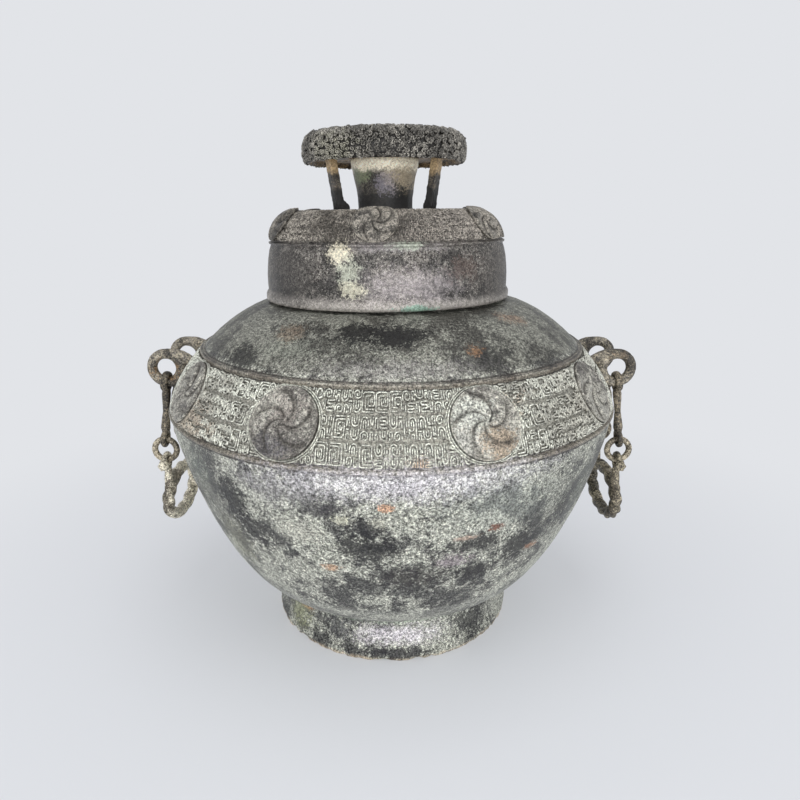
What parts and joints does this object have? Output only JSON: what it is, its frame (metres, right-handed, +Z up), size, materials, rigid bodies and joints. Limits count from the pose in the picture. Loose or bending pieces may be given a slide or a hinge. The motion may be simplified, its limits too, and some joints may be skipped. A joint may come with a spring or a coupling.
{
  "type": "bronze fou jar",
  "caption": "Round-bellied bronze jar on a foot ring with a deep cap lid, a disc knob on stem and struts, and chain handles at both sides.",
  "frame": {"origin": "on the ground, under the jar's axis, at the middle of the foot ring", "axes": "+Z up, front is -Y, the chains hang at +X and -X"},
  "size_m": [0.371, 0.3334, 0.3669],
  "materials": {
    "jar_bronze": "grey-green patina, worn satin",
    "ear_bronze": "grey-brown patina, worn satin",
    "lid_bronze": "dark patina, satin",
    "knob_bronze": "dark patina, matt",
    "chain_bronze": "brown patina with pale dust"
  },
  "bodies": {
    "jar": {"jar_body": "jar_bronze", "ear_left_front": "ear_bronze", "ear_left_rear": "ear_bronze", "ear_right_front": "ear_bronze", "ear_right_rear": "ear_bronze"},
    "lid": {"lid": "lid_bronze", "stem": "knob_bronze", "strut_left": "knob_bronze", "strut_right": "knob_bronze", "strut_rear": "knob_bronze", "crown": "knob_bronze"},
    "link_left_front": {"link_left_front": "chain_bronze"},
    "ring_left_front": {"ring_left_front": "chain_bronze"},
    "link_left_rear": {"link_left_rear": "chain_bronze"},
    "ring_left_rear": {"ring_left_rear": "chain_bronze"},
    "grip_left": {"grip_left": "chain_bronze"},
    "link_right_front": {"link_right_front": "chain_bronze"},
    "ring_right_front": {"ring_right_front": "chain_bronze"},
    "link_right_rear": {"link_right_rear": "chain_bronze"},
    "ring_right_rear": {"ring_right_rear": "chain_bronze"},
    "grip_right": {"grip_right": "chain_bronze"}
  },
  "joints": [
    {"name": "lid_lift", "type": "slide", "parent": "jar", "child": "lid", "axis": [0, 0, 1], "range_m": [0, 0.12]},
    {"name": "link_left_front_swing", "type": "hinge", "parent": "jar", "child": "link_left_front", "pos_m": [-0.16695, -0.024, 0.202], "axis": [0, 1, 0], "range_deg": [0, 110]},
    {"name": "ring_left_front_swing", "type": "hinge", "parent": "link_left_front", "child": "ring_left_front", "pos_m": [-0.17447, -0.024, 0.14086], "axis": [0, 1, 0], "range_deg": [-6, 55]},
    {"name": "link_left_rear_swing", "type": "hinge", "parent": "jar", "child": "link_left_rear", "pos_m": [-0.16695, 0.024, 0.202], "axis": [0, 1, 0], "range_deg": [0, 110]},
    {"name": "ring_left_rear_swing", "type": "hinge", "parent": "link_left_rear", "child": "ring_left_rear", "pos_m": [-0.17447, 0.024, 0.14086], "axis": [0, 1, 0], "range_deg": [-6, 55]},
    {"name": "grip_left_swing", "type": "hinge", "parent": "ring_left_front", "child": "grip_left", "pos_m": [-0.17447, -0.024, 0.13386], "axis": [0, 1, 0], "range_deg": [-6, 55]},
    {"name": "link_right_front_swing", "type": "hinge", "parent": "jar", "child": "link_right_front", "pos_m": [0.16695, -0.024, 0.202], "axis": [0, -1, 0], "range_deg": [0, 110]},
    {"name": "ring_right_front_swing", "type": "hinge", "parent": "link_right_front", "child": "ring_right_front", "pos_m": [0.17447, -0.024, 0.14086], "axis": [0, -1, 0], "range_deg": [-6, 55]},
    {"name": "link_right_rear_swing", "type": "hinge", "parent": "jar", "child": "link_right_rear", "pos_m": [0.16695, 0.024, 0.202], "axis": [0, -1, 0], "range_deg": [0, 110]},
    {"name": "ring_right_rear_swing", "type": "hinge", "parent": "link_right_rear", "child": "ring_right_rear", "pos_m": [0.17447, 0.024, 0.14086], "axis": [0, -1, 0], "range_deg": [-6, 55]},
    {"name": "grip_right_swing", "type": "hinge", "parent": "ring_right_front", "child": "grip_right", "pos_m": [0.17447, -0.024, 0.13386], "axis": [0, -1, 0], "range_deg": [-6, 55]}
  ],
  "couplings": [
    {"joint": "link_left_rear_swing", "follows": "link_left_front_swing", "ratio": 1},
    {"joint": "ring_left_rear_swing", "follows": "ring_left_front_swing", "ratio": 1},
    {"joint": "link_right_rear_swing", "follows": "link_right_front_swing", "ratio": 1},
    {"joint": "ring_right_rear_swing", "follows": "ring_right_front_swing", "ratio": 1}
  ]
}
